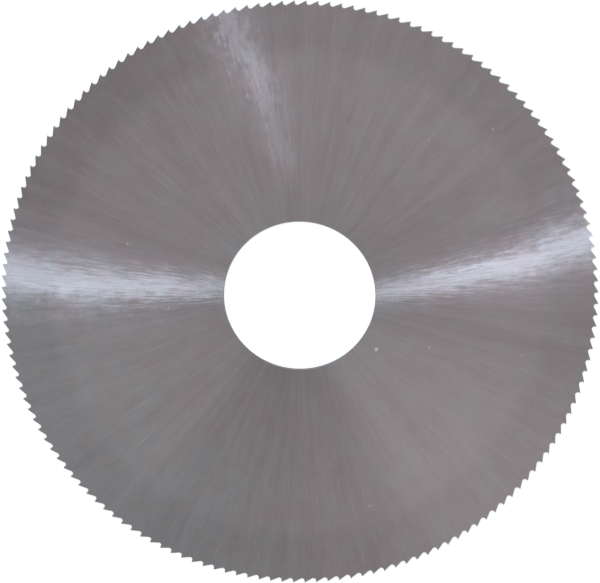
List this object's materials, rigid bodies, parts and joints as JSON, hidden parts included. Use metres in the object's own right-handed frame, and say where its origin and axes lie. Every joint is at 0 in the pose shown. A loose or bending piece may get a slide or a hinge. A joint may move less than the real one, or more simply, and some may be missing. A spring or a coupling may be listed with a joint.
{
  "type": "slitting saw",
  "caption": "Thin circular slitting saw for a milling machine: a ground steel disc with fine straight teeth round its rim, hollow-ground sides and a plain round bore.",
  "frame": {"origin": "centre of the bore, in the plane of the lower side that the blade lies on", "axes": "+Z along the bore axis, up from the side it lies on; +X through a tooth tip"},
  "size_m": [0.1, 0.1, 0.0006],
  "materials": {
    "high_speed_steel": "ground bare high-speed steel with a fine radial lay"
  },
  "bodies": {
    "root": {"saw_blade": "high_speed_steel"}
  },
  "joints": []
}
